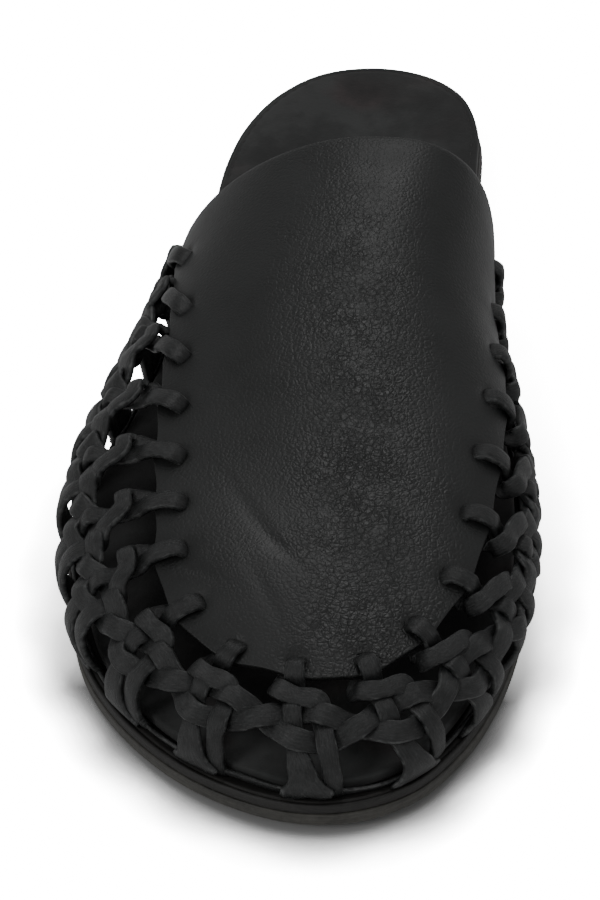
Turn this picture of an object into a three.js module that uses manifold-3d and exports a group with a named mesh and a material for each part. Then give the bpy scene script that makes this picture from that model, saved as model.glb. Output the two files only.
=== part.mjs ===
// Woven leather mule, the right shoe of a pair. Millimetres, +Z up, toe towards -Y, big toe on the +X side.
// A flat sole of three layers carries a woven band that runs round the forepart; the band's loops hold a
// one-piece vamp by a row of holes near its edge. The upper is one hollow wall, open at the throat.
import * as THREE from 'three'
import { mergeVertices } from 'three/addons/utils/BufferGeometryUtils.js'
import Module from 'manifold-3d'

// Main sizes of the shoe
const LENGTH = 287
const BALL_WIDTH = 110
const INSTEP_HEIGHT = 64
const THROAT_FROM_TOE = 174

// Sole: outsole, midsole and insole, each a clearance apart
const OUTSOLE_THICKNESS = 3.2
const OUTSOLE_BEVEL = 0.8
const MIDSOLE_THICKNESS = 2.2
const MIDSOLE_STEP = 0.6
const INSOLE_THICKNESS = 3.2
const INSOLE_STEP = 0.9
const TOE_SPRING = 3
const SPRING_LENGTH = 62
const WAIST_LIFT = 1.5
const FIT_GAP = 0.3

// Upper: the vamp's leather and the strips of the weave
const VAMP_WALL = 1.8
const STRIP_WIDTH = 5
const STRIP_THICKNESS = 1.8
const LOOP_WIDTH = 4.4
const LOOP_FOOT_WIDTH = 4
const FAN_WIDTH = 15
const LOOP_COUNT = 19
const STRAND_SPACING = 6.1
const HOLE_CLEARANCE = 0.5
const UNDER_CLEARANCE = 0.5
const RAND_HEIGHT = 3
const RAND_WALL = 1.6
const MIDSOLE_CLEARANCE = 1.4
const WEAVE_JOIN = 0.2
const FOOT_RISE = 1.7
const TURN_START = 0.5
const TURN_END = 2

const smoothness = {
  sideRows: 42, vampRows: 5, vampRearColumns: 10, vampToeColumns: 14, grid: 220, footLineSpare: 34,
}

// Edge of the sole seen from above: share of the length from the toe, share of half the ball width from the
// middle line, from the heel along the outer side to the toe and back along the inner side.
const OUTLINE = [
  { along: 1.0, across: 0.04 },
  { along: 0.989, across: -0.235 },
  { along: 0.955, across: -0.437 },
  { along: 0.9, across: -0.582 },
  { along: 0.83, across: -0.656 },
  { along: 0.695, across: -0.68 },
  { along: 0.606, across: -0.735 },
  { along: 0.516, across: -0.81 },
  { along: 0.437, across: -0.9 },
  { along: 0.357, across: -0.98 },
  { along: 0.288, across: -0.995 },
  { along: 0.218, across: -0.93 },
  { along: 0.149, across: -0.81 },
  { along: 0.084, across: -0.58 },
  { along: 0.032, across: -0.27 },
  { along: 0.003, across: 0.08 },
  { along: 0.003, across: 0.34 },
  { along: 0.028, across: 0.6 },
  { along: 0.079, across: 0.79 },
  { along: 0.144, across: 0.915 },
  { along: 0.218, across: 0.985 },
  { along: 0.308, across: 1.0 },
  { along: 0.407, across: 0.95 },
  { along: 0.516, across: 0.83 },
  { along: 0.626, across: 0.71 },
  { along: 0.725, across: 0.645 },
  { along: 0.83, across: 0.613 },
  { along: 0.9, across: 0.592 },
  { along: 0.953, across: 0.493 },
  { along: 0.986, across: 0.307 },
]

// Top line of the upper from the toe box to the throat: share of the length, share of half the ball width,
// share of the instep height above the ground.
const RIDGE = [
  { along: 0.174, across: 0.07, height: 0.593 },
  { along: 0.278, across: 0.09, height: 0.71 },
  { along: 0.382, across: 0.127, height: 0.815 },
  { along: 0.487, across: 0.158, height: 0.915 },
  { along: 0.601, across: 0.19, height: 1.0 },
]

// Side of the upper, from its rear end on the outer side (0) round the toe to its rear end on the inner side
// (1): margin from the sole's edge to the foot of the wall and belly beyond the foot, as shares of half the
// ball width, height of the belly as a share of the instep height, and roundness of the crown.
const SIDES = [
  { round: 0.0, margin: 0.045, belly: 0.022, bellyHeight: 0.203, crown: 1.78 },
  { round: 0.12, margin: 0.047, belly: 0.03, bellyHeight: 0.203, crown: 1.78 },
  { round: 0.22, margin: 0.058, belly: 0.05, bellyHeight: 0.186, crown: 1.85 },
  { round: 0.32, margin: 0.073, belly: 0.072, bellyHeight: 0.155, crown: 1.95 },
  { round: 0.41, margin: 0.082, belly: 0.045, bellyHeight: 0.108, crown: 2.0 },
  { round: 0.5, margin: 0.082, belly: 0.01, bellyHeight: 0.072, crown: 2.0 },
  { round: 0.59, margin: 0.082, belly: 0.06, bellyHeight: 0.108, crown: 2.0 },
  { round: 0.68, margin: 0.076, belly: 0.1, bellyHeight: 0.155, crown: 2.05 },
  { round: 0.77, margin: 0.067, belly: 0.07, bellyHeight: 0.186, crown: 2.1 },
  { round: 0.86, margin: 0.06, belly: 0.02, bellyHeight: 0.217, crown: 2.15 },
  { round: 0.93, margin: 0.058, belly: 0.02, bellyHeight: 0.265, crown: 2.3 },
  { round: 1.0, margin: 0.055, belly: 0.085, bellyHeight: 0.34, crown: 2.8 },
]

// The band, a row for each place round the upper: height of the upper strand and of the vamp's lower edge
// above the foot of the wall, measured along the wall as shares of the instep height, distance of the holes
// from that edge in shares of the instep height, and how far a loop's lower and upper end stand ahead of an
// even spacing, in shares of that spacing.
const BAND = [
  { round: 0.0, strand: 0.247, edge: 0.433, hole: 0.06, footAhead: 0.0, holeAhead: 0.85 },
  { round: 0.02, strand: 0.285, edge: 0.423, hole: 0.06, footAhead: 0.0, holeAhead: 0.98 },
  { round: 0.06, strand: 0.345, edge: 0.505, hole: 0.06, footAhead: -0.05, holeAhead: 1.02 },
  { round: 0.11, strand: 0.395, edge: 0.619, hole: 0.06, footAhead: 0.05, holeAhead: 0.9 },
  { round: 0.17, strand: 0.43, edge: 0.686, hole: 0.068, footAhead: 0.1, holeAhead: 0.66 },
  { round: 0.22, strand: 0.44, edge: 0.711, hole: 0.07, footAhead: 0.0, holeAhead: 0.42 },
  { round: 0.28, strand: 0.425, edge: 0.681, hole: 0.075, footAhead: -0.1, holeAhead: 0.05 },
  { round: 0.33, strand: 0.392, edge: 0.593, hole: 0.08, footAhead: -0.22, holeAhead: -0.3 },
  { round: 0.39, strand: 0.345, edge: 0.476, hole: 0.068, footAhead: -0.2, holeAhead: -0.12 },
  { round: 0.445, strand: 0.318, edge: 0.428, hole: 0.035, footAhead: -0.08, holeAhead: 0.05 },
  { round: 0.5, strand: 0.316, edge: 0.443, hole: 0.03, footAhead: 0.15, holeAhead: 0.2 },
  { round: 0.56, strand: 0.318, edge: 0.456, hole: 0.03, footAhead: 0.23, holeAhead: 0.32 },
  { round: 0.61, strand: 0.32, edge: 0.449, hole: 0.04, footAhead: 0.23, holeAhead: 0.3 },
  { round: 0.67, strand: 0.32, edge: 0.469, hole: 0.055, footAhead: 0.25, holeAhead: 0.28 },
  { round: 0.72, strand: 0.32, edge: 0.476, hole: 0.07, footAhead: 0.15, holeAhead: 0.12 },
  { round: 0.78, strand: 0.311, edge: 0.469, hole: 0.08, footAhead: 0.0, holeAhead: -0.05 },
  { round: 0.84, strand: 0.296, edge: 0.43, hole: 0.085, footAhead: -0.1, holeAhead: -0.15 },
  { round: 0.9, strand: 0.273, edge: 0.392, hole: 0.085, footAhead: -0.2, holeAhead: -0.25 },
  { round: 0.95, strand: 0.258, edge: 0.361, hole: 0.08, footAhead: -0.25, holeAhead: -0.3 },
  { round: 0.985, strand: 0.247, edge: 0.345, hole: 0.075, footAhead: -0.25, holeAhead: -0.3 },
  { round: 1.0, strand: 0.242, edge: 0.371, hole: 0.075, footAhead: -0.25, holeAhead: -0.3 },
]

const HALF_BALL = BALL_WIDTH / 2
const WALL_FOOT = OUTSOLE_THICKNESS + MIDSOLE_THICKNESS + 2 * FIT_GAP
const OVER = (STRIP_THICKNESS - WEAVE_JOIN) / 2
const UNDER = -OVER
const BELOW_VAMP = -(VAMP_WALL + UNDER_CLEARANCE + STRIP_THICKNESS / 2)
const ABOVE_VAMP = HOLE_CLEARANCE + STRIP_THICKNESS / 2

const mix = THREE.MathUtils.lerp
const clamp = THREE.MathUtils.clamp

// One column of a table as a smooth function of another column.
function curveOf(table, at, value) {
  const last = table.length - 1
  const slope = (i) => {
    const a = table[Math.max(i - 1, 0)]
    const b = table[Math.min(i + 1, last)]
    return (b[value] - a[value]) / (b[at] - a[at])
  }
  return (x) => {
    const place = clamp(x, table[0][at], table[last][at])
    let i = 0
    while (i < last - 1 && place > table[i + 1][at]) i += 1
    const a = table[i]
    const b = table[i + 1]
    const step = b[at] - a[at]
    const t = (place - a[at]) / step
    const t2 = t * t
    const t3 = t2 * t
    return a[value] * (2 * t3 - 3 * t2 + 1) + b[value] * (3 * t2 - 2 * t3)
      + step * (slope(i) * (t3 - 2 * t2 + t) + slope(i + 1) * (t3 - t2))
  }
}

const ridgeAcross = curveOf(RIDGE, 'along', 'across')
const ridgeHeight = curveOf(RIDGE, 'along', 'height')
const sideMargin = curveOf(SIDES, 'round', 'margin')
const sideBelly = curveOf(SIDES, 'round', 'belly')
const sideBellyHeight = curveOf(SIDES, 'round', 'bellyHeight')
const sideCrown = curveOf(SIDES, 'round', 'crown')
const bandStrand = curveOf(BAND, 'round', 'strand')
const bandEdge = curveOf(BAND, 'round', 'edge')
const bandHole = curveOf(BAND, 'round', 'hole')
const footAhead = curveOf(BAND, 'round', 'footAhead')
const holeAhead = curveOf(BAND, 'round', 'holeAhead')

// Height of the sole's underside: toe spring in front, a slight lift under the waist, flat at ball and heel.
const WAIST_FROM = 0.44 * LENGTH
const WAIST_TO = 0.72 * LENGTH
function groundHeight(y) {
  if (y < SPRING_LENGTH) return TOE_SPRING * (1 - y / SPRING_LENGTH) ** 2
  if (y > WAIST_FROM && y < WAIST_TO) {
    return WAIST_LIFT * Math.sin(Math.PI * (y - WAIST_FROM) / (WAIST_TO - WAIST_FROM)) ** 2
  }
  return 0
}

// Dense outline with inward normals.
const outlineCurve = new THREE.CatmullRomCurve3(
  OUTLINE.map((row) => new THREE.Vector3(row.across * HALF_BALL, row.along * LENGTH, 0)), true, 'centripetal')
const outline = outlineCurve.getPoints(OUTLINE.length * 24).slice(0, -1)
const inward = outline.map((point, i) => {
  const next = outline[(i + 1) % outline.length]
  const before = outline[(i + outline.length - 1) % outline.length]
  const along = next.clone().sub(before).normalize()
  return new THREE.Vector3(-along.y, along.x, 0)
})
const toeIndex = outline.reduce((best, point, i) => (point.y < outline[best].y ? i : best), 0)
const heelIndex = outline.reduce((best, point, i) => (point.y > outline[best].y ? i : best), 0)

// Foot line of the upper's wall, with arc length 0 where the throat's plane meets it on the outer side.
const outerEnd = outline.findIndex((point) => point.y <= THROAT_FROM_TOE)
const innerEnd = outline.findLastIndex((point) => point.y <= THROAT_FROM_TOE)
const footLine = []
for (let i = outerEnd - smoothness.footLineSpare; i <= innerEnd + smoothness.footLineSpare; i += 1) {
  const share = clamp((i - outerEnd) / (innerEnd - outerEnd), 0, 1)
  const point = outline[i].clone().addScaledVector(inward[i], sideMargin(share) * HALF_BALL)
  const out = inward[i].clone().negate()
  const before = footLine.at(-1)
  const length = before ? before.length + point.distanceTo(before.point) : 0
  footLine.push({ point, out, length })
}
const FOOT_START = footLine[smoothness.footLineSpare].length
const FOOT_TOTAL = footLine.at(-1 - smoothness.footLineSpare).length - FOOT_START

function footAt(round) {
  const length = FOOT_START + round * FOOT_TOTAL
  let i = footLine.findIndex((row) => row.length >= length)
  if (i < 0) i = footLine.length - 1
  i = Math.max(i, 1)
  const a = footLine[i - 1]
  const b = footLine[i]
  const t = clamp((length - a.length) / (b.length - a.length), 0, 1)
  return { point: a.point.clone().lerp(b.point, t), out: a.out.clone().lerp(b.out, t).normalize() }
}

// One rib of the last's surface, from the foot line over the belly to the ridge. In the toe the ribs fan out
// from the front end of the ridge.
const POLE = RIDGE[0].along * LENGTH
const POLE_RISE = (RIDGE[1].height - RIDGE[0].height) * INSTEP_HEIGHT
const POLE_SLOPE = POLE_RISE / ((RIDGE[1].along - RIDGE[0].along) * LENGTH)
function ribAt(round, steps = 40) {
  const share = clamp(round, 0, 1)
  const { point: foot, out } = footAt(round)
  const footHeight = groundHeight(foot.y) + WALL_FOOT
  const centreY = clamp(foot.y, POLE, THROAT_FROM_TOE)
  const centre = new THREE.Vector2(ridgeAcross(centreY / LENGTH) * HALF_BALL, Math.max(foot.y, POLE))
  const top = ridgeHeight(centreY / LENGTH) * INSTEP_HEIGHT
  const belly = new THREE.Vector2(foot.x, foot.y).addScaledVector(out, sideBelly(share) * HALF_BALL)
  const bellyHeight = footHeight + sideBellyHeight(share) * INSTEP_HEIGHT
  const power = 2 / sideCrown(share)
  const points = []
  for (let i = 0; i < 8; i += 1) {
    const t = i / 8
    const w = (1 - t) ** 2
    const flat = belly.clone().lerp(foot, w)
    points.push(new THREE.Vector3(flat.x, flat.y, mix(footHeight, bellyHeight, t)))
  }
  for (let i = 0; i <= steps; i += 1) {
    const turn = (i / steps) * Math.PI / 2
    const reach = i === steps ? 0 : Math.cos(turn) ** power
    const rise = Math.sin(turn) ** power
    const x = mix(centre.x, belly.x, reach)
    const y = mix(centre.y, belly.y, reach)
    const tilt = foot.y < POLE ? POLE_SLOPE * (y - POLE) * rise ** 1.5 : 0
    points.push(new THREE.Vector3(x, y, mix(bellyHeight, top, rise) + tilt))
  }
  const lengths = [0]
  for (let i = 1; i < points.length; i += 1) {
    lengths.push(lengths[i - 1] + points[i].distanceTo(points[i - 1]))
  }
  return { points, lengths, total: lengths.at(-1) }
}

function pointOnRib(rib, t) {
  if (t >= rib.total) return rib.points.at(-1).clone()
  let i = 1
  while (rib.lengths[i] < t) i += 1
  const a = rib.lengths[i - 1]
  const b = rib.lengths[i]
  return rib.points[i - 1].clone().lerp(rib.points[i], (t - a) / (b - a))
}

// The same surface on a fine grid, so that strips can be laid on it quickly.
const SPARE = 0.035
const RISE_STEP = 1.5
const RISE_COUNT = 52
const gridRibs = []
for (let i = 0; i <= smoothness.grid; i += 1) {
  const rib = ribAt(mix(-SPARE, 1 + SPARE, i / smoothness.grid))
  gridRibs.push(Array.from({ length: RISE_COUNT }, (_, j) => pointOnRib(rib, j * RISE_STEP)))
}
function surface(round, t) {
  const u = clamp((round + SPARE) / (1 + 2 * SPARE), 0, 1) * smoothness.grid
  const v = clamp(t / RISE_STEP, 0, RISE_COUNT - 1.001)
  const i = Math.min(Math.floor(u), smoothness.grid - 1)
  const j = Math.floor(v)
  const low = gridRibs[i][j].clone().lerp(gridRibs[i + 1][j], u - i)
  const high = gridRibs[i][j + 1].clone().lerp(gridRibs[i + 1][j + 1], u - i)
  return low.lerp(high, v - j)
}
const NUDGE = 0.004
function onWall(round, t, lift) {
  const point = surface(round, t)
  const along = surface(round + NUDGE, t).sub(surface(round - NUDGE, t))
  const up = surface(round, t + 1.5).sub(surface(round, Math.max(t - 1.5, 0)))
  const spacing = along.length() / (2 * NUDGE)
  const normal = along.cross(up).normalize()
  return { point: point.addScaledVector(normal, lift), normal, spacing }
}

// A closed solid from shared vertices and triangles.
const wasm = await Module()
wasm.setup()
function solidOf(vertices, triangles) {
  const vertProperties = new Float32Array(vertices.flatMap((v) => [v.x, v.y, v.z]))
  const triVerts = new Uint32Array(triangles)
  return new wasm.Manifold(new wasm.Mesh({ numProp: 3, vertProperties, triVerts }))
}
function solidOfRings(rings) {
  const triangles = []
  for (let i = 0; i + 1 < rings.length; i += 1) {
    for (let k = 0; k < 4; k += 1) {
      const a = i * 4 + k
      const b = i * 4 + (k + 1) % 4
      triangles.push(a, b + 4, b, a, a + 4, b + 4)
    }
  }
  const end = (rings.length - 1) * 4
  triangles.push(0, 1, 2, 0, 2, 3, end, end + 2, end + 1, end, end + 3, end + 2)
  return solidOf(rings.flat(), triangles)
}
function solidOfGeometry(geometry) {
  geometry.deleteAttribute('normal')
  geometry.deleteAttribute('uv')
  const merged = mergeVertices(geometry, 1e-4)
  const vertProperties = merged.attributes.position.array
  const triVerts = new Uint32Array(merged.index.array)
  return new wasm.Manifold(new wasm.Mesh({ numProp: 3, vertProperties, triVerts }))
}
function geometryOf(solid) {
  const mesh = solid.getMesh()
  const geometry = new THREE.BufferGeometry()
  geometry.setAttribute('position', new THREE.BufferAttribute(new Float32Array(mesh.vertProperties), 3))
  geometry.setIndex(new THREE.BufferAttribute(new Uint32Array(mesh.triVerts), 1))
  return geometry
}

// A layer of the sole: rings from its underside to its top, each an inset from the sole's edge and a height.
function sideIndex(from, to, share) {
  const count = (to - from + outline.length) % outline.length
  return (from + Math.round(share * count)) % outline.length
}
function soleLayer(rings) {
  const rows = smoothness.sideRows
  const places = []
  for (let i = 0; i < rows; i += 1) places.push(sideIndex(toeIndex, heelIndex, i / rows))
  for (let i = 0; i < rows; i += 1) places.push(sideIndex(heelIndex, toeIndex, i / rows))
  const count = places.length
  const vertices = []
  const triangles = []
  for (const ring of rings) {
    for (const place of places) {
      const point = outline[place].clone().addScaledVector(inward[place], ring.inset(outline[place]))
      point.z = groundHeight(clamp(point.y, 0, LENGTH)) + ring.height
      vertices.push(point)
    }
  }
  for (let r = 0; r + 1 < rings.length; r += 1) {
    for (let i = 0; i < count; i += 1) {
      const a = r * count + i
      const b = r * count + (i + 1) % count
      triangles.push(a, b, b + count, a, b + count, a + count)
    }
  }
  const top = (rings.length - 1) * count
  for (let i = 0; i < rows; i += 1) {
    const a = i
    const b = i + 1
    const c = (count - i - 1) % count
    const d = (count - i) % count
    if (b !== c) {
      triangles.push(a, c, b)
      triangles.push(top + a, top + b, top + c)
    }
    if (a !== d) {
      triangles.push(a, d, c)
      triangles.push(top + a, top + c, top + d)
    }
  }
  return solidOf(vertices, triangles)
}

const outsoleTop = OUTSOLE_THICKNESS
const midsoleBottom = outsoleTop + FIT_GAP
const midsoleTop = midsoleBottom + MIDSOLE_THICKNESS
const insoleBottom = midsoleTop + FIT_GAP
const insoleTop = insoleBottom + INSOLE_THICKNESS
const outsole = soleLayer([
  { inset: () => OUTSOLE_BEVEL, height: 0 },
  { inset: () => 0, height: OUTSOLE_BEVEL },
  { inset: () => 0, height: outsoleTop },
])
const midsole = soleLayer([
  { inset: () => MIDSOLE_STEP, height: midsoleBottom },
  { inset: () => MIDSOLE_STEP, height: midsoleTop - OUTSOLE_BEVEL / 2 },
  { inset: () => MIDSOLE_STEP + OUTSOLE_BEVEL / 2, height: midsoleTop },
])

// The insole fills the inside of the woven wall in front and reaches almost to the sole's edge at the heel.
const INSOLE_WIDE_FROM = THROAT_FROM_TOE + 0.045 * LENGTH
const INSOLE_WIDE_TO = THROAT_FROM_TOE + 0.1 * LENGTH
function insoleInset(point) {
  const index = outline.indexOf(point)
  const share = clamp((index - outerEnd) / (innerEnd - outerEnd), 0, 1)
  const inside = sideMargin(share) * HALF_BALL + STRIP_THICKNESS + FIT_GAP
  const open = THREE.MathUtils.smoothstep(point.y, INSOLE_WIDE_FROM, INSOLE_WIDE_TO)
  return mix(inside, INSOLE_STEP, open)
}
const insole = soleLayer([
  { inset: insoleInset, height: insoleBottom },
  { inset: insoleInset, height: insoleTop - OUTSOLE_BEVEL / 2 },
  { inset: (point) => insoleInset(point) + OUTSOLE_BEVEL, height: insoleTop },
])

// The vamp: one wall over the ridge, down to the band's edge line on both sides and round the toe.
const edgeHeight = (round) => bandEdge(round) * INSTEP_HEIGHT
function roundAtY(y, inner) {
  let low = inner ? 0.5 : -SPARE
  let high = inner ? 1 + SPARE : 0.5
  for (let i = 0; i < 40; i += 1) {
    const middle = (low + high) / 2
    if ((footAt(middle).point.y > y) === inner) high = middle
    else low = middle
  }
  return (low + high) / 2
}
const vampColumns = []
for (let i = 0; i <= smoothness.vampRearColumns; i += 1) {
  vampColumns.push(roundAtY(mix(THROAT_FROM_TOE, POLE, i / smoothness.vampRearColumns), false))
}
const fanStart = vampColumns.at(-1)
const fanEnd = roundAtY(POLE, true)
for (let i = 1; i < smoothness.vampToeColumns; i += 1) {
  vampColumns.push(mix(fanStart, fanEnd, i / smoothness.vampToeColumns))
}
for (let i = 0; i <= smoothness.vampRearColumns; i += 1) {
  vampColumns.push(roundAtY(mix(POLE, THROAT_FROM_TOE, i / smoothness.vampRearColumns), true))
}

function weld(points) {
  const vertices = []
  const index = points.map((point) => {
    const known = vertices.findIndex((vertex) => vertex.distanceTo(point) < 0.02)
    return known < 0 ? vertices.push(point) - 1 : known
  })
  return { vertices, index }
}

function wallFrom(points, faces, wall) {
  const { vertices, index } = weld(points)
  const outer = []
  for (let i = 0; i < faces.length; i += 3) {
    const corners = [index[faces[i]], index[faces[i + 1]], index[faces[i + 2]]]
    if (new Set(corners).size === 3) outer.push(...corners)
  }
  const normals = vertices.map(() => new THREE.Vector3())
  for (let i = 0; i < outer.length; i += 3) {
    const [a, b, c] = outer.slice(i, i + 3)
    const normal = vertices[b].clone().sub(vertices[a]).cross(vertices[c].clone().sub(vertices[a]))
    for (const corner of [a, b, c]) normals[corner].add(normal)
  }
  const inner = vertices.map((vertex, i) => vertex.clone().addScaledVector(normals[i].normalize(), -wall))
  const triangles = [...outer]
  const count = vertices.length
  const open = new Map()
  for (let i = 0; i < outer.length; i += 3) {
    const [a, b, c] = outer.slice(i, i + 3)
    triangles.push(a + count, c + count, b + count)
    for (const [from, to] of [[a, b], [b, c], [c, a]]) {
      if (open.has(`${to} ${from}`)) open.delete(`${to} ${from}`)
      else open.set(`${from} ${to}`, [from, to])
    }
  }
  for (const [from, to] of open.values()) {
    triangles.push(from, to + count, to, from, from + count, to + count)
  }
  return solidOf([...vertices, ...inner], triangles)
}

const vampPoints = []
const vampFaces = []
const vampHeight = smoothness.vampRows + 1
for (const round of vampColumns) {
  const rib = ribAt(round)
  for (let j = 0; j <= smoothness.vampRows; j += 1) {
    const share = (j / smoothness.vampRows) ** 1.25
    vampPoints.push(pointOnRib(rib, mix(edgeHeight(round), rib.total, share)))
  }
}
for (let i = 0; i + 1 < vampColumns.length; i += 1) {
  for (let j = 0; j < smoothness.vampRows; j += 1) {
    const a = i * vampHeight + j
    vampFaces.push(a, a + vampHeight, a + vampHeight + 1, a, a + vampHeight + 1, a + 1)
  }
}
const vampWall = wallFrom(vampPoints, vampFaces, VAMP_WALL)

// A flat strip laid along the wall. Each stop gives its place round the upper, its height along the wall, its
// lift off the wall and its width; the strip's flat side follows the wall and turns over where the path does.
function strip(stops, thickness, steps) {
  const onPath = stops.map((stop) => new THREE.Vector3(stop.round * FOOT_TOTAL, stop.rise, stop.lift))
  const path = new THREE.CatmullRomCurve3(onPath, false, 'centripetal')
  const rows = []
  for (let i = 0; i < stops.length - 1; i += 1) {
    for (let k = 0; k < steps; k += 1) rows.push({ at: i + k / steps })
  }
  rows.push({ at: stops.length - 1 })
  for (const row of rows) {
    const place = path.getPoint(row.at / (stops.length - 1))
    const i = Math.min(Math.floor(row.at), stops.length - 2)
    row.width = mix(stops[i].width, stops[i + 1].width, row.at - i)
    Object.assign(row, onWall(place.x / FOOT_TOTAL, place.y, place.z))
  }
  const rings = []
  let side = null
  rows.forEach((row, i) => {
    const ahead = rows[Math.min(i + 1, rows.length - 1)].point
    const behind = rows[Math.max(i - 1, 0)].point
    const along = ahead.clone().sub(behind).normalize()
    const flat = along.clone().cross(row.normal)
    if (side === null) side = flat.clone()
    const carried = side.clone().addScaledVector(along, -side.dot(along)).normalize()
    const lean = THREE.MathUtils.smoothstep(flat.length(), 0.3, 0.75)
    if (flat.dot(carried) < 0) flat.negate()
    side = carried.lerp(flat.normalize(), lean).normalize()
    const out = side.clone().cross(along)
    rings.push([[-1, -1], [1, -1], [1, 1], [-1, 1]].map(([across, depth]) => row.point.clone()
      .addScaledVector(side, across * row.width / 2).addScaledVector(out, depth * thickness / 2)))
  })
  return solidOfRings(rings)
}

// Where each loop of the weave stands. Its two ends need not stand above each other, so the place where it
// crosses the vamp's edge is found along its own slant.
const PITCH = 1 / (LOOP_COUNT - 1)
const alongLoop = (loop, rise) => {
  const share = clamp((rise - loop.upper) / (loop.holeRise - loop.upper), 0, 1.1)
  return mix(loop.foot, loop.hole, share)
}
const beside = (loop, rise, millimetres) => {
  const round = alongLoop(loop, rise)
  return round + millimetres / onWall(round, rise, 0).spacing
}
function edgeOnLoop(loop, millimetres) {
  let rise = edgeHeight(loop.hole)
  for (let i = 0; i < 6; i += 1) rise = edgeHeight(beside(loop, rise, millimetres))
  return rise
}
const loops = Array.from({ length: LOOP_COUNT }, (_, i) => {
  const even = i * PITCH
  const foot = even + footAhead(even) * PITCH
  const hole = even + holeAhead(even) * PITCH
  const upper = bandStrand(foot) * INSTEP_HEIGHT
  const holeRise = edgeHeight(hole) + bandHole(hole) * INSTEP_HEIGHT
  const loop = { foot, hole, upper, lower: upper - STRAND_SPACING, holeRise, back: foot + 0.35 * PITCH }
  loop.edge = edgeOnLoop(loop, 0)
  loop.dive = edgeOnLoop(loop, -0.7 * STRIP_WIDTH)
  loop.crossing = Math.min(mix(loop.upper, loop.edge, 0.62), loop.edge - 0.84 * STRIP_WIDTH)
  return loop
})

// A loop starts as a narrow end on the sole, passes over the lower and under the upper strand, crosses over
// its own other leg, goes under the vamp and up through its hole, comes back over the vamp's edge, passes
// over the upper and under the lower strand, and ends on the sole as a wide fan.
function loopStops(loop) {
  const width = LOOP_WIDTH
  const clearOfStrand = Math.min(loop.upper + 0.62 * STRIP_WIDTH, loop.crossing - 0.5)
  const leg = (widths, rise, lift) => ({ round: beside(loop, rise, widths * STRIP_WIDTH), rise, lift, width })
  return [
    { round: loop.back + 0.02 * PITCH, rise: FOOT_RISE, lift: UNDER * 0.7, width: LOOP_FOOT_WIDTH },
    { round: loop.back, rise: loop.lower, lift: OVER, width },
    { round: loop.back, rise: loop.upper, lift: UNDER, width },
    leg(1, clearOfStrand, 0),
    leg(0.1, loop.crossing, OVER),
    leg(-0.7, loop.dive - 0.48 * STRIP_WIDTH, BELOW_VAMP),
    leg(-0.6, loop.dive + 0.1 * STRIP_WIDTH, BELOW_VAMP),
    leg(-0.05, mix(loop.dive, loop.holeRise, 0.65), BELOW_VAMP),
    leg(0, loop.holeRise + TURN_START, BELOW_VAMP),
    leg(0, loop.holeRise + TURN_END, -VAMP_WALL / 2),
    leg(0, loop.holeRise + TURN_START, ABOVE_VAMP),
    leg(0, mix(loop.edge, loop.crossing, 0.55), ABOVE_VAMP),
    leg(0, loop.crossing, UNDER),
    leg(0, clearOfStrand, 0),
    { round: loop.foot, rise: loop.upper, lift: OVER, width },
    { round: loop.foot, rise: loop.lower, lift: UNDER, width },
    { round: loop.foot + 0.03 * PITCH, rise: loop.lower - 0.62 * STRIP_WIDTH, lift: 0, width: width * 1.1 },
    { round: loop.foot + 0.13 * PITCH, rise: loop.lower * 0.35, lift: OVER * 0.6, width: FAN_WIDTH * 0.66 },
    { round: loop.foot + 0.13 * PITCH, rise: FOOT_RISE, lift: OVER * 0.6, width: FAN_WIDTH },
  ]
}

// The two strands run round the whole band and change levels between every two loops.
function strandStops(startsHigh) {
  const width = STRIP_WIDTH
  const stops = []
  let high = startsHigh
  const first = loops[0]
  stops.push({ round: first.foot - 0.5 * PITCH, rise: first.lower * 0.2, lift: high ? OVER : UNDER, width })
  loops.forEach((loop, i) => {
    const rise = high ? loop.upper : loop.lower
    stops.push({ round: loop.foot, rise, lift: high ? UNDER : OVER, width })
    stops.push({ round: loop.back, rise, lift: high ? OVER : UNDER, width })
    const next = loops[i + 1]
    if (next) {
      const round = mix(loop.back, next.foot, 0.56)
      const middle = (loop.upper + loop.lower + next.upper + next.lower) / 4
      stops.push({ round, rise: middle, lift: high ? UNDER : OVER, width })
      high = !high
    } else {
      const round = loop.back + 0.22 * PITCH
      stops.push({ round, rise: loop.lower * 0.2, lift: high ? UNDER : OVER, width })
    }
  })
  return stops
}

// The low rand that the strips rise from.
const RAND_STEPS = LOOP_COUNT * 2
const randStops = Array.from({ length: RAND_STEPS + 1 }, (_, i) => {
  const round = mix(-0.42 * PITCH, 1 + 0.42 * PITCH, i / RAND_STEPS)
  return { round, rise: (RAND_HEIGHT + MIDSOLE_CLEARANCE) / 2, lift: 0, width: RAND_HEIGHT }
})

let weave = strip(randStops, RAND_WALL, 1)
for (const startsHigh of [true, false]) weave = weave.add(strip(strandStops(startsHigh), STRIP_THICKNESS, 1))
for (const loop of loops) weave = weave.add(strip(loopStops(loop), STRIP_THICKNESS, 1))

// Slots in the vamp, one for each loop, square to the loop.
let vamp = vampWall
for (const loop of loops) {
  const { point, normal } = onWall(loop.hole, loop.holeRise, -VAMP_WALL / 2)
  const below = loop.holeRise - STRIP_WIDTH / 2
  const up = point.clone().sub(onWall(alongLoop(loop, below), below, -VAMP_WALL / 2).point)
  up.addScaledVector(normal, -up.dot(normal)).normalize()
  const side = up.clone().cross(normal)
  const box = new THREE.BoxGeometry(
    LOOP_WIDTH + 2 * HOLE_CLEARANCE, STRIP_THICKNESS + 5 * HOLE_CLEARANCE, VAMP_WALL * 3)
  const centre = point.addScaledVector(up, TURN_END)
  box.applyMatrix4(new THREE.Matrix4().makeBasis(side, up, normal).setPosition(centre))
  vamp = vamp.subtract(solidOfGeometry(box))
}

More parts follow.
